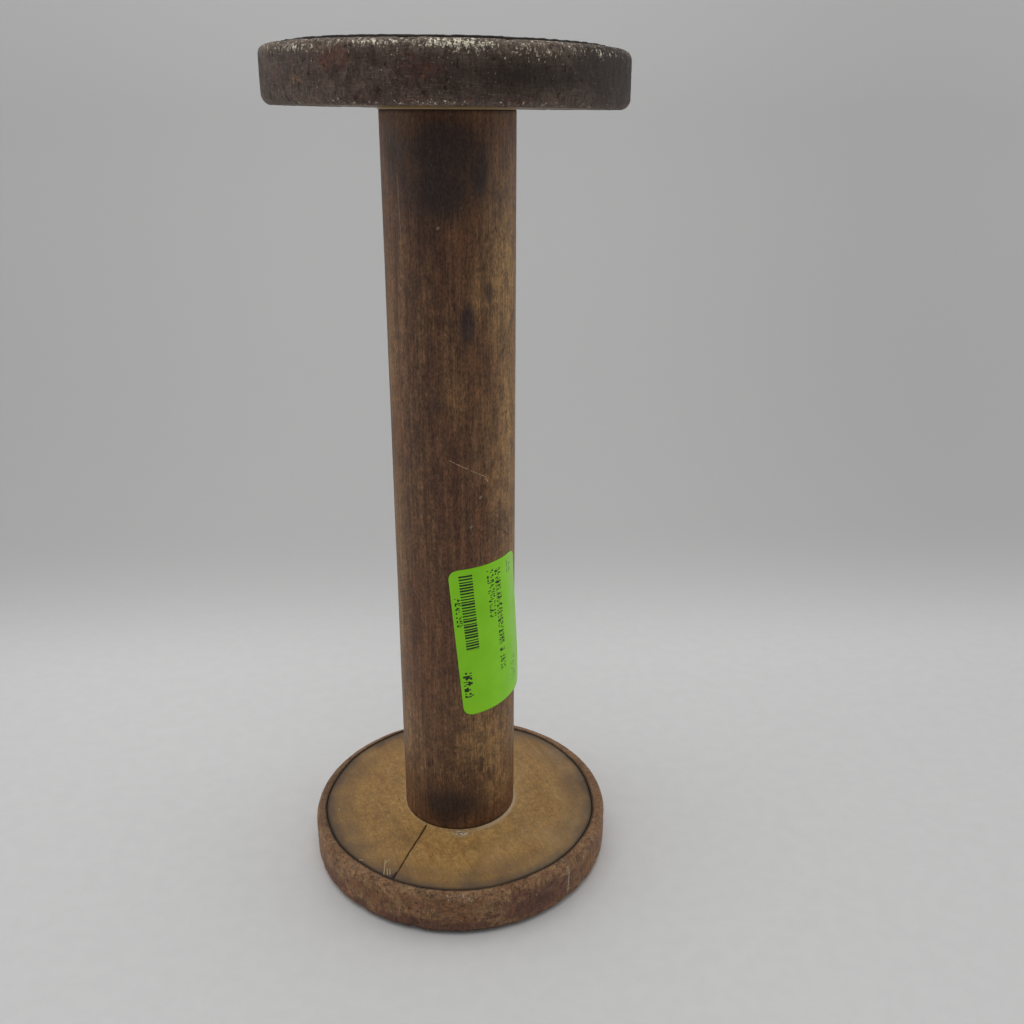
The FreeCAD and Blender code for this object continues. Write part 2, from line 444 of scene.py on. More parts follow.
def straw_and_dirt(s, base):
    """Loose bits on the face, between points in mm. Gives the colour and what stands up."""
    straws = [
        ((-24.3, -31.4), (-24.4, -38.2)),
        ((-24.3, -33.0), (-22.9, -31.2)),
        ((-23.5, -35.6), (-23.3, -38.4)),
        ((-22.6, -35.9), (-22.5, -38.2)),
        ((-31.6, -31.2), (-32.6, -31.0)),
        ((-41.7, -4.6), (-41.6, -5.6)),
    ]
    raised = 0.0
    for start, end in straws:
        straw = s.segment(s.x, s.y, start, end, 0.30)
        base = s.over(base, (0.56, 0.42, 0.24), straw, 0.75)
        raised = s.math("MAXIMUM", straw, raised)
    for start, end in ((-20.6, -37.4), (-21.2, -39.6)), ((-21.6, -38.6), (-21.9, -40.6)):
        smear = s.segment(s.x, s.y, start, end, 0.55)
        base = s.over(base, (0.045, 0.030, 0.034), smear, 0.8)
    return base, raised


def crumbs(s, base, raised):
    """Dark and pale crumbs of old glue where the debris mask says."""
    debris = s.mask("debris")
    dark_crumb = s.steps(s.noise(0.7, detail=2), 0.48, 0.56)
    pale_crumb = s.steps(s.noise(0.6, (1.4, 1, 1), detail=2), 0.48, 0.54)
    base = s.over(base, (0.030, 0.024, 0.018), debris, dark_crumb, 0.9)
    base = s.over(base, (0.80, 0.74, 0.60), debris, pale_crumb)
    return base, s.math("MAXIMUM", s.times(debris, pale_crumb, 2.0), raised)


def head_material(name, shade, littered=False):
    """Face grain of a laminated head. The littered face has straw, dirt and crumbs on it."""
    s = Shader(name)
    grain = head_grain(s)
    base = head_wood(s, grain, shade)
    base, grime_and_shade = head_dirt_and_shade(s, grain, base)
    raised = 0.0
    if littered:
        base, raised = straw_and_dirt(s, base)
        base, raised = crumbs(s, base, raised)
    rough = s.plus(s.steps(grain.mottle, 0.3, 0.7, 0.38, 0.56), s.times(grime_and_shade, 0.15))
    height = s.weighted(
        (grain.fibre, 0.035), (grain.band, 0.04), (grain.mottle, 0.05), (grain.pores, -0.04),
        (grain.fleck, 0.03), (raised, 0.12),
    )
    return s.finish(base, rough, height, Specular_IOR_Level=0.28)


def rim_grain(s):
    """Noise for worn paint on steel, from fine to coarse, and its pits."""
    pit_noise = s.noise(0.9, (1, 1, 1.5), detail=3, roughness=0.65)
    return SimpleNamespace(
        fine=s.noise(0.5, detail=4, roughness=0.75),
        tick=s.noise(0.8, (1, 1, 2.2), detail=4, roughness=0.75),
        mid=s.noise(2.0, (1, 1, 1.3), detail=5, roughness=0.72, distortion=0.6),
        patch=s.noise(4.5, (1, 1, 0.8), detail=5, roughness=0.70, distortion=1.0),
        cloud=s.noise(9, (1, 1, 0.6), detail=4, roughness=0.6),
        rubbed=s.noise(1.1, (3.2, 3.2, 0.45), detail=4, roughness=0.7),
        drag=s.noise(0.7, (1, 1, 5), detail=4, roughness=0.7),
        pits=s.steps(pit_noise, 0.60, 0.68),
    )


def rim_paint(s, grain, paint, second_paint, pale_and_highlight):
    """Old paint of two tones, rubbed pale at its edges, with a painted highlight along the upper rim's top
    corner, and stained where the masks say.
    """
    base = s.mix(s.steps(grain.cloud, 0.38, 0.62), paint, second_paint)
    base = s.over(base, [c * 0.55 for c in paint], s.steps(grain.patch, 0.50, 0.60), 0.55)
    base = s.over(base, pale_and_highlight, s.steps(grain.rubbed, 0.52, 0.66), 0.30)
    base = s.over(base, pale_and_highlight, s.mask("edge"), s.steps(grain.tick, 0.38, 0.58), 0.8)
    stains = [
        # mask, pattern, low and high ends of its ragged edge, strength, colour
        ("red", grain.patch, 0.35, 0.75, 0.75, (0.155, 0.066, 0.048)),
        ("rust", grain.tick, 0.35, 0.85, 0.70, (0.27, 0.125, 0.035)),
        ("dark", grain.mid, 0.25, 0.95, 0.82, (0.032, 0.022, 0.017)),
    ]
    for mask, pattern, low, high, strength, colour in stains:
        stain = s.ragged(s.mask(mask), pattern, 2.0, low, high)
        base = s.over(base, colour, stain, strength)
    base = s.toned(base, grain.fine, 0.82, 1.18)
    base = s.toned(base, grain.drag, 0.86, 1.14)
    base = s.toned(base, grain.mid, 0.74, 1.26)
    return s.over(base, [c * 0.16 for c in paint], grain.pits, 0.7)


def bare_steel(s, grain):
    """How far the steel shows: in worn places apart from their pits, and in faint flecks everywhere."""
    flecks = s.steps(s.weighted((grain.tick, 0.75), (grain.fine, 0.25)), 0.61, 0.68)
    breakup = s.weighted((grain.tick, 0.7), (grain.fine, 0.3))
    worn = s.ragged(s.mask("worn"), breakup, 4.2, 0.60, 0.80)
    unpitted = s.math("SUBTRACT", 1.0, s.times(grain.pits, 0.8))
    return s.math("MAXIMUM", s.times(worn, unpitted), s.times(flecks, 0.35))


def rim_material(name, paint, second_paint, pale_and_highlight, bare_and_glint):
    """Old paint on rolled steel, with rust, pits and worn-through metal; on the upper rim that metal is
    light as a painted glint.
    """
    s = Shader(name)
    grain = rim_grain(s)
    worn = bare_steel(s, grain)
    metal = s.mix(s.steps(grain.fine, 0.38, 0.62), [c * 0.4 for c in bare_and_glint], bare_and_glint)
    base = s.mix(worn, rim_paint(s, grain, paint, second_paint, pale_and_highlight), metal)
    paint_rough = s.steps(grain.mid, 0.3, 0.7, 0.50, 0.72)
    rough = s.plus(paint_rough, s.times(worn, -0.15), s.times(grain.pits, 0.15))
    height = s.weighted(
        (grain.mid, 0.12), (grain.fine, 0.06), (grain.pits, -0.14), (worn, -0.03), (grain.tick, 0.05),
    )
    return s.finish(base, rough, height, metallic=s.times(worn, 0.4), Specular_IOR_Level=0.25)


def steel_material(name, colour, brown):
    """Dull oiled steel with brown patches. Its turning marks run round the spindle axis."""
    s = Shader(name)
    radius = s.math("SQRT", s.plus(s.times(s.x, s.x), s.times(s.y, s.y)))
    rings = s.add("ShaderNodeCombineXYZ", {0: radius, 1: s.z}).outputs[0]
    turned = s.noise(0.22, detail=3, where=rings)
    cloud = s.noise(3.5, detail=5, roughness=0.65)
    fine = s.noise(0.4, detail=3)
    base = s.mix(s.steps(turned, 0.35, 0.65), [c * 0.8 for c in colour], colour)
    base = s.toned(base, cloud, 0.70, 1.15)
    rusted = s.steps(s.weighted((cloud, 0.7), (fine, 0.3)), 0.44, 0.66)
    base = s.over(base, brown, rusted, 0.85)
    rough = s.plus(s.steps(turned, 0.3, 0.7, 0.40, 0.52), s.times(rusted, 0.3))
    height = s.weighted((turned, 0.012), (rusted, 0.02), (fine, 0.008))
    return s.finish(base, rough, height, metallic=s.steps(rusted, 1.0, 0.0, 0.35, 1.0))


def label_material():
    """Green label paper. Its UVs are millimetres from its middle, before it was wrapped and turned."""
    s = Shader("green_label_paper")
    flat = s.add("ShaderNodeUVMap", uv_map="label").outputs[0]
    axes = s.add("ShaderNodeSeparateXYZ", {0: flat}).outputs
    across, upward = axes[0], axes[1]
    paper = s.noise(0.35, detail=3)
    tone = s.noise(9, detail=2)
    base = s.mix(s.steps(tone, 0.3, 0.7), (0.300, 0.800, 0.008), (0.345, 0.870, 0.014))
    # Paler patches towards the right edge: painted sheen from the side light.
    painted_sheen = s.times(s.steps(across, 3.0, 12.0), s.steps(s.noise(5, (1, 1, 2), detail=4), 0.3, 0.65))
    base = s.over(base, (0.46, 0.80, 0.22), painted_sheen, 0.6)
    base = s.over(base, (0.008, 0.012, 0.006), label_ink(s, across, upward), 0.97)
    rough = s.steps(paper, 0.3, 0.7, 0.36, 0.48)
    height = s.weighted((paper, 0.012), (tone, 0.05))
    return s.finish(base, rough, height, Specular_IOR_Level=0.35)


def inside(s, value, low, high):
    return s.times(s.math("GREATER_THAN", value, low), s.math("LESS_THAN", value, high))


def random_cells(s, value, size, seed):
    """A random value for each cell of this size along a line."""
    cell = s.math("FLOOR", s.math("DIVIDE", value, size))
    return s.add("ShaderNodeTexWhiteNoise", {"W": s.plus(cell, seed)}, noise_dimensions="1D").outputs[0]


def print_row(s, across, upward, row):
    """One row of unreadable print: random strokes in letter-sized cells."""
    left, right, low, high, letter, seed = row
    cell_length, cell_width = letter / 5, (right - left) / 4
    letter_share, space_share, blank_share = 0.76, 0.10, 0.52
    along = s.math("FLOOR", s.math("DIVIDE", upward, cell_length))
    band = s.math("FLOOR", s.math("DIVIDE", s.math("SUBTRACT", across, left), cell_width))
    cell = s.add("ShaderNodeCombineXYZ", {0: along, 1: band, 2: seed}).outputs[0]
    random = s.add("ShaderNodeTexWhiteNoise", {0: cell}, noise_dimensions="3D").outputs[0]
    stroke = s.math("GREATER_THAN", random, blank_share)
    letter_body = s.math("LESS_THAN", s.math("FRACT", s.math("DIVIDE", upward, letter)), letter_share)
    not_a_space = s.math("GREATER_THAN", random_cells(s, upward, letter, seed), space_share)
    area = s.times(inside(s, across, left, right), inside(s, upward, low, high))
    return s.times(stroke, letter_body, not_a_space, area)


def label_ink(s, across, upward):
    """Generic marks: a block of plain bars, and rows of random strokes in place of words."""
    pitch = 0.95
    bar_seed = 11.0
    bar_share = s.plus(s.times(random_cells(s, upward, pitch, bar_seed), 0.40), 0.40)
    bars = s.math("LESS_THAN", s.math("FRACT", s.math("DIVIDE", upward, pitch)), bar_share)
    ink = s.times(bars, inside(s, across, -9.7, -5.5), inside(s, upward, -2.3, 23.7))
    rows = [
        # left, right, low, high, letter length, seed
        (-11.7, -9.9, 6.4, 16.4, 1.5, 3.0),
        (-11.7, -8.9, -20.6, -9.8, 2.1, 8.0),
        (-0.8, 1.6, 4.6, 23.1, 1.7, 17.0),
        (2.1, 4.4, -14.0, 22.8, 1.35, 24.0),
        (7.3, 8.0, 19.2, 23.6, 0.9, 29.0),
        (8.6, 9.4, 19.2, 23.6, 0.9, 31.0),
    ]
    for row in rows:
        ink = s.math("MAXIMUM", ink, print_row(s, across, upward, row))
    faint = print_row(s, across, upward, (7.4, 10.4, -21.0, -11.5, 2.2, 37.0))
    return s.math("MAXIMUM", ink, s.times(faint, 0.3))


# ---------- marks

# A mark is (azimuth in degrees, height in mm, half-width in degrees, half-height in mm, strength)
barrel_marks = {
    "stain": [
        (-4, 229, 36, 9, 1.0), (-8, 219, 30, 9, 0.95), (-44, 224, 16, 11, 0.5), (-18, 208, 18, 9, 0.45),
        (24, 224, 16, 11, 0.75), (-52, 228, 20, 10, 0.55), (-10, 25, 38, 7, 0.85), (-14, 21, 24, 5, 0.75),
        (-20, 30, 40, 5, 0.4), (175, 200, 30, 30, 0.7), (120, 60, 25, 40, 0.4), (215, 110, 20, 50, 0.45),
    ],
    "shade": [
        (-46, 222, 16, 15, 0.95), (-38, 150, 14, 22, 0.85), (44, 220, 12, 18, 0.6), (5, 180, 9, 9, 0.9),
        (-15, 200, 10, 10, 0.9), (-34, 142, 10, 12, 0.7), (-52, 120, 10, 14, 0.6), (-8, 150, 7, 8, 0.6),
        (46, 160, 8, 10, 0.25), (-24, 196, 20, 26, 0.75), (-20, 166, 18, 20, 0.75), (-6, 186, 14, 20, 0.5),
        (-22, 138, 20, 22, 0.6), (6, 136, 22, 18, 0.45), (-12, 106, 8, 18, 0.7), (-35, 100, 26, 34, 0.35),
        (-14, 60, 26, 26, 0.4), (4, 33, 34, 7, 0.55), (25, 204, 12, 10, 0.4), (50, 121, 30, 5, 0.6),
        (-140, 120, 40, 60, 0.5),
    ],
    "spot": [
        (14, 184, 8, 6, 1.0), (34, 192, 6, 4, 0.8), (-15, 162, 5, 4, 0.6), (-25, 212, 6, 4, 0.5),
        (26, 221, 8, 3, 0.7), (150, 150, 6, 5, 0.9), (-130, 95, 5, 7, 0.8),
    ],
    "tan": [
        (54, 194, 30, 26, 1.0), (62, 150, 26, 40, 1.0), (34, 158, 14, 12, 0.6), (44, 134, 18, 16, 0.7),
        (5, 162, 10, 8, 0.5), (26, 50, 16, 14, 0.7), (26, 194, 12, 16, 0.6), (70, 100, 20, 40, 0.9),
        (-66, 178, 14, 24, 0.6), (36, 47, 42, 15, 0.8), (44, 30, 28, 9, 0.7), (-72, 84, 10, 24, 0.8),
        (-66, 120, 12, 40, 0.5), (10, 60, 26, 14, 0.35), (-60, 50, 18, 16, 0.55), (180, 60, 60, 40, 0.7),
        (110, 200, 30, 30, 0.8), (-120, 160, 30, 50, 0.6),
    ],
    "red": [
        (12, 205, 16, 16, 0.9), (30, 168, 18, 20, 0.7), (-8, 196, 8, 14, 0.5), (0, 150, 20, 26, 0.55),
        (20, 128, 24, 16, 0.8), (-55, 150, 14, 20, 0.5), (-30, 88, 26, 26, 0.7), (8, 115, 20, 20, 0.5),
        (-65, 190, 8, 20, 0.5), (40, 232, 20, 5, 0.6), (160, 100, 30, 30, 0.6),
    ],
}
lower_rim_marks = {
    "worn": [
        (0, 13.8, 8, 1.0, 0.62), (43.2, 8.0, 0.5, 7, 1.35), (-62, 13.5, 12, 1.2, 0.3),
        (0, 2.0, 40, 0.7, 0.35), (150, 12, 30, 2, 0.5),
    ],
    "red": [
        (-58, 5, 12, 5, 0.8), (-12, 3, 36, 3.5, 1.0), (28, 7, 20, 7, 1.0), (10, 9, 8, 4, 0.5),
        (56, 8, 12, 6, 0.8), (-30, 10, 5, 3, 0.4), (200, 6, 50, 6, 0.9),
    ],
    "dark": [
        (0, 1.0, 70, 1.5, 0.9), (29, 7, 12, 5, 0.55), (34, 12, 10, 3, 0.3), (48, 8, 10, 6, 0.4),
        (-90, 14.6, 45, 1.0, 0.6), (-15, 14.6, 18, 0.8, 0.35), (-14, 10, 5, 2, 0.3), (-6, 3.6, 16, 2.2, 0.5),
        (100, 14.4, 50, 1.2, 0.4), (-100, 14.4, 50, 1.2, 0.4), (130, 3, 40, 3, 0.8), (-130, 3, 40, 2, 0.7),
    ],
    "rust": [
        (56, 8, 5, 4, 1.0), (-78, 9, 5, 3, 0.5), (-35, 11, 10, 2, 0.5), (110, 7, 6, 4, 0.9),
        (-150, 6, 5, 4, 0.9),
    ],
}
upper_rim_marks = {
    "worn": [
        (-20, 252.4, 12, 1.4, 0.62), (2, 252.3, 14, 1.8, 0.84), (24, 251.2, 14, 2.2, 0.47),
        (-42, 251.2, 8, 0.8, 0.55), (-48, 251.8, 18, 1.6, 0.50), (50, 251.7, 20, 1.8, 0.42),
        (8, 249.5, 40, 1.6, 0.28), (0, 239.8, 80, 0.7, 0.40), (-50, 242.6, 14, 0.5, 0.40),
        (160, 251.8, 60, 2.0, 0.6), (-140, 251.8, 40, 2.0, 0.55),
    ],
    "red": [
        (-32, 249, 18, 4.5, 0.55), (-8, 247, 14, 4, 0.5), (0, 240.5, 60, 1.2, 0.5), (-58, 246, 10, 5, 0.4),
        (35, 248, 20, 3, 0.3), (120, 246, 40, 6, 0.6),
    ],
    "dark": [
        (24, 246, 30, 4.5, 0.95), (-18, 244, 14, 4, 0.3), (62, 248, 28, 9, 1.3), (180, 245, 50, 5, 0.7),
    ],
    "rust": [
        (-46, 245, 7, 2, 0.5), (-60, 251, 4, 1.5, 0.5), (90, 245, 6, 4, 0.8),
    ],
}


# ---------- pieces

def make_barrel():
    end = spool_height - shoulder_height
    tenon_end = barrel_high.z
    coarse = 6 * MM
    profile = outline([
        (barrel_bore_radius, barrel_low.z, 0, coarse),
        (tenon_radius, barrel_low.z, 0, coarse),
        (tenon_radius, shoulder_height, 0, 1.5 * MM),
        (barrel_radius, shoulder_height, 0.3 * MM, 0.9 * MM),
        (barrel_radius, end, 0.3 * MM, 1.5 * MM),
        (tenon_radius, end, 0, coarse),
        (tenon_radius, tenon_end, 0, coarse),
        (barrel_bore_radius, tenon_end, 0, coarse),
    ])

    def sculpt(x, y, r, z, azimuth):
        skin = rise(r - barrel_radius, -0.6, -0.1)
        uneven = fractal(x, y, z * 0.25, 7 * MM, 2, 3.7)
        worn = fractal(x, y, z * 0.5, 1.6 * MM, 2, 9.1)
        r = r + skin * (0.04 * MM * uneven + 0.015 * MM * worn)
        from_shoulder = np.minimum(abs(z - shoulder_height), abs(z - end))
        masks = {name: blobs(azimuth, z, marks) for name, marks in barrel_marks.items()}
        masks["groove"] = rise(from_shoulder, 0.6, 0.15)
        return r, z, masks

    piece = lathe("turned_barrel", profile, even_angles(300), barrel_material(), sculpt)
    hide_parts("barrel")
    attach(piece, "root")


def flipped(height, upper):
    """The height in the spool of a height in the lower head, or in the upper head turned over."""
    return spool_height - height if upper else height


def tilted(x, r, z, upper, core_side=None):
    """The upper head leans a little to its right, but stays level at its hub and where it meets its core."""
    if not upper:
        return z
    lean = upper_head_tilt * x * rise(r - flange_radius, 0.5, 10)
    if core_side is not None:
        lean = lean * rise(abs(z - core_side), 0.3, 3)
    return z + lean


def lip_wander(azimuth):
    """How far the hand-rolled lip of a rim, and the face it holds, stray from a true circle."""
    oval = 0.30 * np.sin(2 * azimuth + 0.6)
    bumps = 0.22 * np.sin(5 * azimuth + 2.0) + 0.10 * np.sin(11 * azimuth)
    return (oval + bumps) * MM


def inner_ply_profile():
    fine = 0.8 * MM
    coarse = 5 * MM
    side = ply_radius - 0.05 * MM
    lip_side = lip_radius - 0.15 * MM
    under_lip = head_thickness - rim_sheet
    return outline([
        (tenon_radius, inner_ply_foot, 0, coarse),
        (side, inner_ply_foot, 0, coarse),
        (side, under_lip, rim_inner_bend - rim_sheet, coarse),
        (lip_side, under_lip, 0, fine),
        (lip_side, head_thickness, 0.35 * MM, fine),
        (boss_radius, head_thickness, 0.15 * MM, 0.3 * MM),
        (boss_radius, shoulder_height, 0.3 * MM, 0.5 * MM),
        (tenon_radius, shoulder_height, 0, coarse),
    ])


def finer_at_crack(angles):
    """The same angles, but much closer together in the part that the crack runs through."""
    start, end = radians(-41), radians(-24)
    spacing, margin = radians(0.12), radians(0.2)
    angles = (angles + pi) % (2 * pi) - pi
    outside = angles[(angles <= start - margin) | (angles >= end + margin)]
    return np.sort(np.concatenate([outside, np.arange(start, end, spacing)]))


def settled(x, y, r, z, upper):
    """The height of the wood's face, which has sunk a little unevenly between its boss and the rim."""
    face = rise(z - head_thickness, -0.5, -0.05)
    face = face * rise(r - boss_radius, 0.6, 1.2)
    level = fractal(x, y, z * 0, 16 * MM, 2, 21.0 + upper)
    dents = fractal(x, y, z * 0, 2.2 * MM, 3, 31.0 + upper)
    return z - face * (0.10 * MM * (level + 1) + 0.03 * MM * (dents + 1))


def inner_face_masks(x, y, r, z, azimuth, upper):
    """Dirt and painted shade darken the face towards the rim and at the barrel's foot, painted light lifts
    it near the barrel, and a pale bead of old glue runs round the barrel's foot, lighter on its lit right
    side as a painted highlight.
    """
    # Painted shade with the dirt: darker towards the rim and at the barrel's foot, a little less so at the
    # front.
    at_rim = 0.36 * rise(r - lip_radius, -4.5, -0.8)
    towards_rim = 0.56 * rise(r - lip_radius, -17, -5)
    at_barrel = 0.15 * rise(r - boss_radius, 2.0, 0.2)
    clouds = fractal(x, y, z * 0, 11 * MM, 2, 41.0 + upper)
    lighter_front = 0.06 * smoothstep(np.cos(azimuth), 0.2, 0.9)
    uneven = 0.92 + 0.35 * clouds - lighter_front
    bead = rise(r - boss_radius, 0.7, 0.3)
    on_boss = rise(z - head_thickness, -0.2, 0.3)
    # Painted highlight: the lower bead and boss edge are lighter towards the lit right side.
    lit_right_side = smoothstep(signed_degrees(azimuth), 0, 30)
    if upper:
        pale_and_highlight = 0.35 * on_boss
    else:
        pale_and_highlight = np.maximum(bead, on_boss) * (0.15 + 0.85 * lit_right_side)
    return {
        "grime_and_shade": np.clip((at_rim + towards_rim) * uneven + at_barrel, 0, 1),
        "groove": 0.9 * rise(r - lip_radius, -1.0, -0.25),
        "pale_and_highlight": pale_and_highlight,
        # Painted light near the barrel.
        "painted_light_near_barrel": 0.6 * rise(r - boss_radius, 9, 1),
        "debris": np.exp(-(x / (2.6 * MM)) ** 2 - ((y + 20.0 * MM) / (1.1 * MM)) ** 2),
    }


def cut_crack(x, y, z, masks):
    """A drying crack from the barrel out to the rim. It lowers z, and darkens two of the masks."""
    run = crack_end - crack_start
    dx, dy = x - crack_start.x, y - crack_start.y
    share = np.clip((dx * run.x + dy * run.y) / run.length ** 2, 0, 1)
    wander = 0.09 * MM * np.sin(share * 9) + 0.04 * MM * np.sin(share * 31 + 1)
    beside = abs((dx * run.y - dy * run.x) / run.length + wander)
    beyond = np.hypot(dx - share * run.x, dy - share * run.y)
    away = np.where((share <= 0) | (share >= 1), beyond, beside)
    half_width = (0.34 - 0.13 * share) * MM
    gap = smoothstep(away, half_width, half_width * 0.45)
    top = rise(z - head_thickness, -0.8, -0.4)
    masks["groove"] = np.maximum(masks["groove"], gap)
    masks["grime_and_shade"] = np.maximum(masks["grime_and_shade"], 0.35 * rise(away, 1.1, 0.2))
    return z - gap * top * 1.4 * MM * (1 - 0.5 * share)


def held_by_lip(r, z, azimuth):
    """The radius of the face's edge, which follows the lip that is rolled over it."""
    near_lip = rise(r - lip_radius, -3, -0.3)
    near_lip = near_lip * rise(r - lip_radius, 1.5, 0)
    near_lip = near_lip * rise(z - head_thickness, -1.2, -0.8)
    return r + lip_wander(azimuth) * near_lip


def make_inner_ply(end, material, cracked=False):
    upper = end == "upper"
    angles = even_angles(360)
    if cracked:
        angles = finer_at_crack(angles)

    def sculpt(x, y, r, z, azimuth):
        z = settled(x, y, r, z, upper)
        masks = inner_face_masks(x, y, r, z, azimuth, upper)
        if cracked:
            z = cut_crack(x, y, z, masks)
        r = held_by_lip(r, z, azimuth)
        z = tilted(x, r, z, upper, inner_ply_foot)
        return r, flipped(z, upper), masks

    piece = lathe(end + "_head_inner_face", inner_ply_profile(), angles, material, sculpt)
    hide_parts(end + "_head_inner_ply")
    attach(piece, "root")


def outer_ply_profile():
    coarse = 5 * MM
    hub = flange_radius + 0.05 * MM
    side = ply_radius - 0.05 * MM
    lip_top = plateau_height + rim_sheet
    return outline([
        (tenon_radius, flange_recess, 0, coarse),
        (hub, flange_recess, 0, 0.5 * MM),
        (hub, 0, 0.25 * MM, 0.9 * MM),
        (plateau_radius, 0, 0.45 * MM, 0.5 * MM),
        (plateau_radius, lip_top, 0, coarse),
        (side, lip_top, rim_outer_bend - rim_sheet, coarse),
        (side, outer_ply_top, 0, coarse),
        (tenon_radius, outer_ply_top, 0, coarse),
    ])


def end_face_masks(x, y, r, z, upper):
    """The end face is dirty at its edge and round the bushing, and rubbed nearly free of dirt between them.
    """
    clouds = fractal(x, y, z * 0, 9 * MM, 3, 61.0 + upper)
    ring = 0.9 * rise(r - plateau_radius, -12, 0)
    hub = 0.8 * rise(r - flange_radius, 4, 0.2)
    return {
        "grime_and_shade": np.clip(0.45 + 0.35 * clouds + np.maximum(ring, hub), 0, 1),
        "groove": rise(r - plateau_radius, -1.0, -0.3),
    }


def make_outer_ply(end, material):
    upper = end == "upper"

    def sculpt(x, y, r, z, azimuth):
        face = rise(z, 0.35, 0.05)
        dents = fractal(x, y, z * 0, 2.6 * MM, 3, 51.0 + upper)
        level = fractal(x, y, z * 0, 14 * MM, 2, 55.0 + upper)
        edge = rise(r - plateau_radius, -2.5, 0)
        wear = 0.05 * MM * dents + 0.06 * MM * level + 0.25 * MM * edge * (dents + 0.3)
        z = z + face * np.maximum(0, wear)
        if upper:
            z = z - upper_end_swell * face * rise(r - flange_radius, 1, 12)
        masks = end_face_masks(x, y, r, z, upper)
        return r, flipped(tilted(x, r, z, upper, outer_ply_top), upper), masks

    piece = lathe(end + "_head_end_face", outer_ply_profile(), even_angles(360), material, sculpt)
    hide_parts(end + "_head_outer_ply")
    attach(piece, "root")


def rim_profile():
    fine = 0.45 * MM
    coarse = 3 * MM
    inside_radius = head_radius - rim_sheet
    return outline([
        (lip_radius, head_thickness, 0.3 * MM, 0.4 * MM),
        (head_radius, head_thickness, rim_inner_bend, fine),
        (head_radius, plateau_height, rim_outer_bend, fine),
        (plateau_radius, plateau_height, 0.3 * MM, fine),
        (plateau_radius, plateau_height + rim_sheet, 0, coarse),
        (inside_radius, plateau_height + rim_sheet, rim_outer_bend - rim_sheet, coarse),
        (inside_radius, head_thickness - rim_sheet, rim_inner_bend - rim_sheet, coarse),
        (lip_radius, head_thickness - rim_sheet, 0, coarse),
    ])


def depth_in_rim(r, z):
    """How far a point of a rim lies below the rim's outer surface."""
    depth = np.minimum(head_radius - r, np.minimum(z - plateau_height, head_thickness - z))
    for bend, height, facing in ((rim_inner_bend, head_thickness, 1), (rim_outer_bend, plateau_height, -1)):
        across = r - (head_radius - bend)
        upward = facing * (z - height) + bend
        in_bend = (across > 0) & (upward > 0)
        depth = np.where(in_bend, bend - np.hypot(across, upward), depth)
    return depth


def rim_bulge(z, azimuth, upper):
    """How far the outside of a rim stands out from the CAD model's."""
    if not upper:
        return lower_rim_swell + lower_rim_drift * np.sin(azimuth)
    corner = rise(z - plateau_height, 3.4, 0.2)
    wear = upper_rim_wear * (0.3 + 0.7 * np.cos(azimuth) ** 2)
    return upper_rim_swell - wear * corner


def rim_masks(r, azimuth, z, marks, dent, outer_corner, inner_corner, upper):
    """The marks on a rim, wear along its two bends with a painted highlight on the upper rim's top bend, and
    dirt in its dents and its inner lip.
    """
    masks = {name: blobs(azimuth, flipped(z, upper), blob_list) for name, blob_list in marks.items()}
    seam = inner_corner * rise(r - lip_radius, 1.1, 0.1)
    in_dents = 0.5 * np.clip(dent * 2.0, 0, 1)
    masks["dark"] = np.maximum(masks["dark"], np.maximum(seam, in_dents))
    off_flat = smoothstep(r, plateau_radius + 0.5 * MM, head_radius - 1.5 * MM)
    # The upper rim's top bend is lighter than the lower rim's bottom bend: worn paint with a painted
    # highlight where the top light falls.
    worn_corner = (0.36 if upper else 0.15) * outer_corner
    masks["worn"] = off_flat * np.maximum(masks["worn"], worn_corner)
    outer_edge = (0.9 if upper else 0.15) * outer_corner * (0.3 + 0.7 * off_flat)
    inner_edge = (0.2 if upper else 0.3) * inner_corner
    masks["edge"] = np.maximum(outer_edge, inner_edge)
    return masks


def make_rim(end, material, marks, dent_depth):
    """A rolled steel rim, with dents and pits on its outside."""
    upper = end == "upper"
    seed = 7.0 if upper else 0.0

    def sculpt(x, y, r, z, azimuth):
        outside = rise(depth_in_rim(r, z), 0.6, 0.3)
        outer_corner = rise(z - plateau_height, 4.0, 0.8)
        inner_corner = rise(z - head_thickness, -3.5, -0.8)
        dent = np.maximum(0, fractal(x, y, z, 6 * MM, 2, seed + 71) - 0.12)
        pit = np.maximum(0, fractal(x, y, z, 1.7 * MM, 3, seed + 81) - 0.1)
        skin = fractal(x, y, z, 3.4 * MM, 2, seed + 91)
        depth = dent_depth * dent * (0.25 + outer_corner) + 0.16 * MM * pit + 0.05 * MM * skin
        side = smoothstep(r, lip_radius, head_radius - 1.0 * MM)
        on_face = (1 - side * 0.6) * np.maximum(outer_corner, inner_corner)
        into_face = np.where(z > head_thickness / 2, -1, 1)
        on_lip = inner_corner * rise(r - lip_radius, 1.8, 0.2)
        r_new = r + (rim_bulge(z, azimuth, upper) - depth) * outside * side
        r_new = r_new + lip_wander(azimuth) * on_lip
        z_new = tilted(x, r, z + into_face * depth * outside * on_face, upper)
        masks = rim_masks(r, azimuth, z, marks, dent, outer_corner, inner_corner, upper)
        return r_new, flipped(z_new, upper), masks

    piece = lathe(end + "_steel_rim", rim_profile(), even_angles(760), material, sculpt)
    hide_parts(end + "_rim")
    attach(piece, "root")


def label_half_width(v):
    """Half the flat label's width at a height v from its middle. Its corners are round."""
    inset = max(0.0, abs(v) - (label_length / 2 - label_corner))
    return label_width / 2 - (label_corner - sqrt(max(0.0, label_corner ** 2 - inset ** 2)))


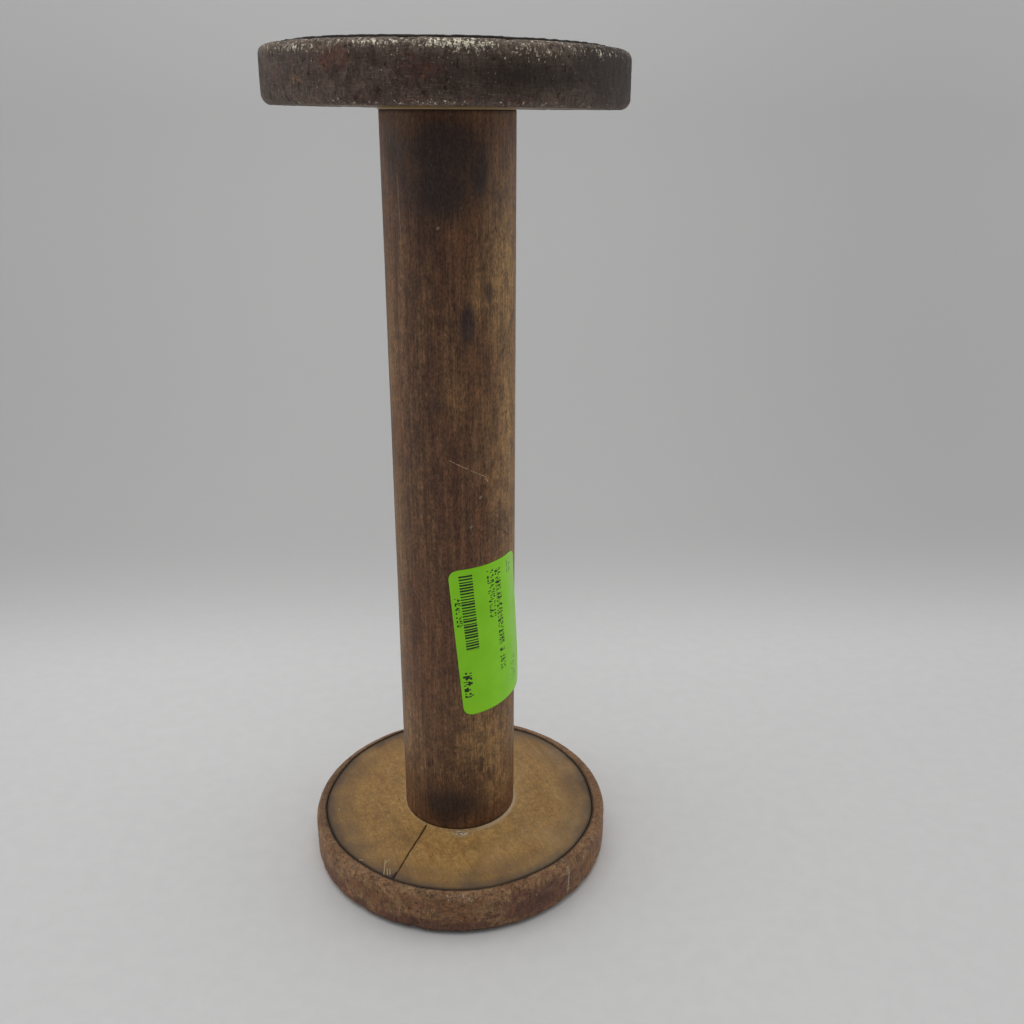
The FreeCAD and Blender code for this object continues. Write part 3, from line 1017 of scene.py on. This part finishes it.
def label_point(u, v, thickness):
    """Where a point of the flat label lies on the barrel. u is across it and v is up, from its middle."""
    across = u * cos(label_lean) - v * sin(label_lean)
    upward = u * sin(label_lean) + v * cos(label_lean)
    ripple = noise.noise(Vector((u, v, 0)) / (9 * MM))
    loose_side = max(0.0, 2 * u / label_width - 0.1) ** 2
    loose_end = min(1.0, max(0.0, 0.6 - 1.6 * v / label_length))
    lift = 0.05 * MM * (ripple + 0.6) + label_lift * loose_side * loose_end
    skin = barrel_radius + lift + thickness
    azimuth = label_azimuth + across / barrel_radius
    height = (label_low.z + label_high.z) / 2 + upward
    return skin * sin(azimuth), -skin * cos(azimuth), height


def label_faces(rows, columns):
    """Quads over the underside, the top, and all round the edge."""
    under = np.arange((rows + 1) * (columns + 1)).reshape(rows + 1, columns + 1)
    quads = np.stack([under[:-1, :-1], under[1:, :-1], under[1:, 1:], under[:-1, 1:]], -1).reshape(-1, 4)
    border = np.concatenate([under[0, :-1], under[:-1, -1], under[-1, :0:-1], under[:0:-1, 0]])
    following = np.roll(border, -1)
    edge = np.stack([border, following, following + under.size, border + under.size], -1)
    return np.concatenate([quads, quads[:, [0, 3, 2, 1]] + under.size, edge]).tolist()


def make_label():
    """Paper wrapped round the barrel. Its far edge has come a little away from the wood near the bottom."""
    rows, columns = 120, 70
    points, uvs = [], []
    for thickness in (0.0, 0.15 * MM):
        for i in range(rows + 1):
            v = -label_length / 2 + label_length * i / rows
            half = label_half_width(v)
            for j in range(columns + 1):
                u = -half + 2 * half * j / columns
                points.append(label_point(u, v, thickness))
                uvs.append((u / MM, v / MM))
    piece = new_piece("wrapped_price_label", points, label_faces(rows, columns), label_material())
    layer = piece.data.uv_layers.new(name="label")
    for loop in piece.data.loops:
        layer.data[loop.index].uv = uvs[loop.vertex_index]
    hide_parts("price_label")
    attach(piece, "root")


def set_material(node, material):
    """A carried-over CAD piece gets its finish."""
    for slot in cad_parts[node].material_slots:
        slot.link = "OBJECT"
        slot.material = material


# ---------- setting

def sweep_material():
    """Pale grey, with painted shade up the wall and painted light in the middle."""
    s = Shader("pale_sweep")
    speckle = s.noise(6, detail=3)
    colour = s.mix(s.steps(speckle, 0.3, 0.7), [0.77] * 3, [0.79] * 3)
    # Painted shade: darker up the wall, easing a little higher up.
    colour = s.mix(s.steps(s.y, 110.0, 250.0), colour, [0.55] * 3)
    colour = s.mix(s.steps(s.z, 20.0, 330.0), colour, [0.69] * 3)
    # Painted light: lighter in the middle of the sweep.
    from_middle = s.steps(s.math("ABSOLUTE", s.x), 60.0, 330.0)
    painted_light_middle = s.mix(from_middle, [1.09] * 3, [0.97] * 3)
    colour = s.mix(1.0, colour, painted_light_middle, "MULTIPLY")
    return s.finish(colour, 0.7, s.times(s.noise(1.2, detail=2), 0.01))


def make_backdrop():
    """A pale sweep: a flat floor that curves up into a wall behind the spool."""
    front, back, bend, top, half_width = -1.6, 0.16, 0.24, 0.9, 1.6
    below_end_face = 0.05 * MM
    steps = 24
    turns = [pi / 2 * k / steps for k in range(steps + 1)]
    curve = [(back + bend * sin(turn), bend * (1 - cos(turn))) for turn in turns]
    profile = [(front, 0.0), *curve, (back + bend, top)]
    points = [(side * half_width, y, z - below_end_face) for side in (-1, 1) for y, z in profile]
    count = len(profile)
    faces = [(i, count + i, count + i + 1, i + 1) for i in range(count - 1)]
    floor = new_piece("pale_sweep", points, faces, sweep_material())


def make_lights():
    lights = [
        # name, place, aim, width, height, power
        ("top_panel", (-0.06, 0.02, 0.85), (0, 0, 0), 0.9, 0.8, 2.9),
        ("right_panel", (0.75, 0.08, 0.35), (0, 0, 0.12), 0.7, 0.6, 1.1),
        ("left_panel", (-0.75, 0.08, 0.35), (0, 0, 0.12), 0.7, 0.6, 1.1),
    ]
    for name, place, aim, width, height, power in lights:
        data = bpy.data.lights.new(name, "AREA")
        data.shape = "RECTANGLE"
        data.size, data.size_y = width, height
        data.energy = power
        lamp = bpy.data.objects.new(name, data)
        lamp.location = place
        lamp.rotation_euler = (Vector(aim) - Vector(place)).to_track_quat("-Z", "Y").to_euler()
        lamp.visible_camera = False
        bpy.context.scene.collection.objects.link(lamp)
    world = bpy.data.worlds.new("studio")
    world.use_nodes = True
    background = world.node_tree.nodes["Background"]
    background.inputs["Color"].default_value = (0.5, 0.5, 0.5, 1)
    background.inputs["Strength"].default_value = 0.50
    bpy.context.scene.world = world


def make_camera():
    """A hand-held view from the front, a little below the top of the spool and turned to its right."""
    yaw, pitch, roll = 0.0602, 0.3722, 0.0037
    forward = Vector((sin(yaw) * cos(pitch), cos(yaw) * cos(pitch), -sin(pitch)))
    level = Vector((cos(yaw), -sin(yaw), 0))
    above = level.cross(forward)
    right = level * cos(roll) + above * sin(roll)
    up = above * cos(roll) - level * sin(roll)
    data = bpy.data.cameras.new("camera")
    data.sensor_width = 36
    data.lens = 35.71
    camera = bpy.data.objects.new("camera", data)
    place = Vector((0, -296.4, 237.3)) * MM
    turn = Matrix((right, up, -forward)).transposed().to_4x4()
    camera.matrix_world = Matrix.Translation(place) @ turn
    bpy.context.scene.collection.objects.link(camera)
    bpy.context.scene.camera = camera


def make_heads():
    lower_face = head_material("lower_inner_face_wood", 1.0, littered=True)
    # The upper inner face's wood is darkened to 0.40 of the lower face's: painted shade, as it faces down,
    # away from the top light.
    shaded_upper_face = head_material("shaded_upper_inner_face_wood", 0.40)
    end_face = head_material("head_end_face_wood", 0.75)
    make_inner_ply("lower", lower_face, cracked=True)
    make_inner_ply("upper", shaded_upper_face)
    for end in ("lower", "upper"):
        make_outer_ply(end, end_face)
        set_material(end + "_head_core_ply", end_face)


def make_rims():
    """The lower rim is painted a rusty brown, and the upper one nearly black."""
    rims = [
        # end, marks, dent depth, paint, second tone, rubbed edge (painted highlight on the upper rim),
        # worn-through steel (painted glint on the upper rim)
        ("lower", lower_rim_marks, lower_rim_dent,
         (0.250, 0.120, 0.057), (0.315, 0.180, 0.088), (0.42, 0.27, 0.15), (0.55, 0.47, 0.36)),
        # The upper rim's pale rubbed edge and light steel colours are partly a painted highlight and glint.
        ("upper", upper_rim_marks, upper_rim_dent,
         (0.078, 0.048, 0.038), (0.126, 0.086, 0.066), (0.27, 0.215, 0.165), (0.95, 0.87, 0.68)),
    ]
    for end, marks, dent_depth, *colours in rims:
        make_rim(end, rim_material(end + "_rim_paint", *colours), marks, dent_depth)


def finish_bushings():
    bushing_steel = steel_material("bushing_steel", (0.235, 0.215, 0.190), (0.105, 0.060, 0.034))
    screw_steel = steel_material("screw_steel", (0.150, 0.132, 0.112), (0.07, 0.038, 0.024))
    for end in ("lower", "upper"):
        set_material(end + "_bushing", bushing_steel)
        set_material(end + "_bushing_screws", screw_steel)


def main():
    scene = bpy.context.scene
    scene.view_settings.view_transform = "Standard"
    scene.view_settings.look = "None"
    make_camera()
    make_lights()
    make_backdrop()
    make_barrel()
    make_heads()
    make_rims()
    finish_bushings()
    make_label()


main()
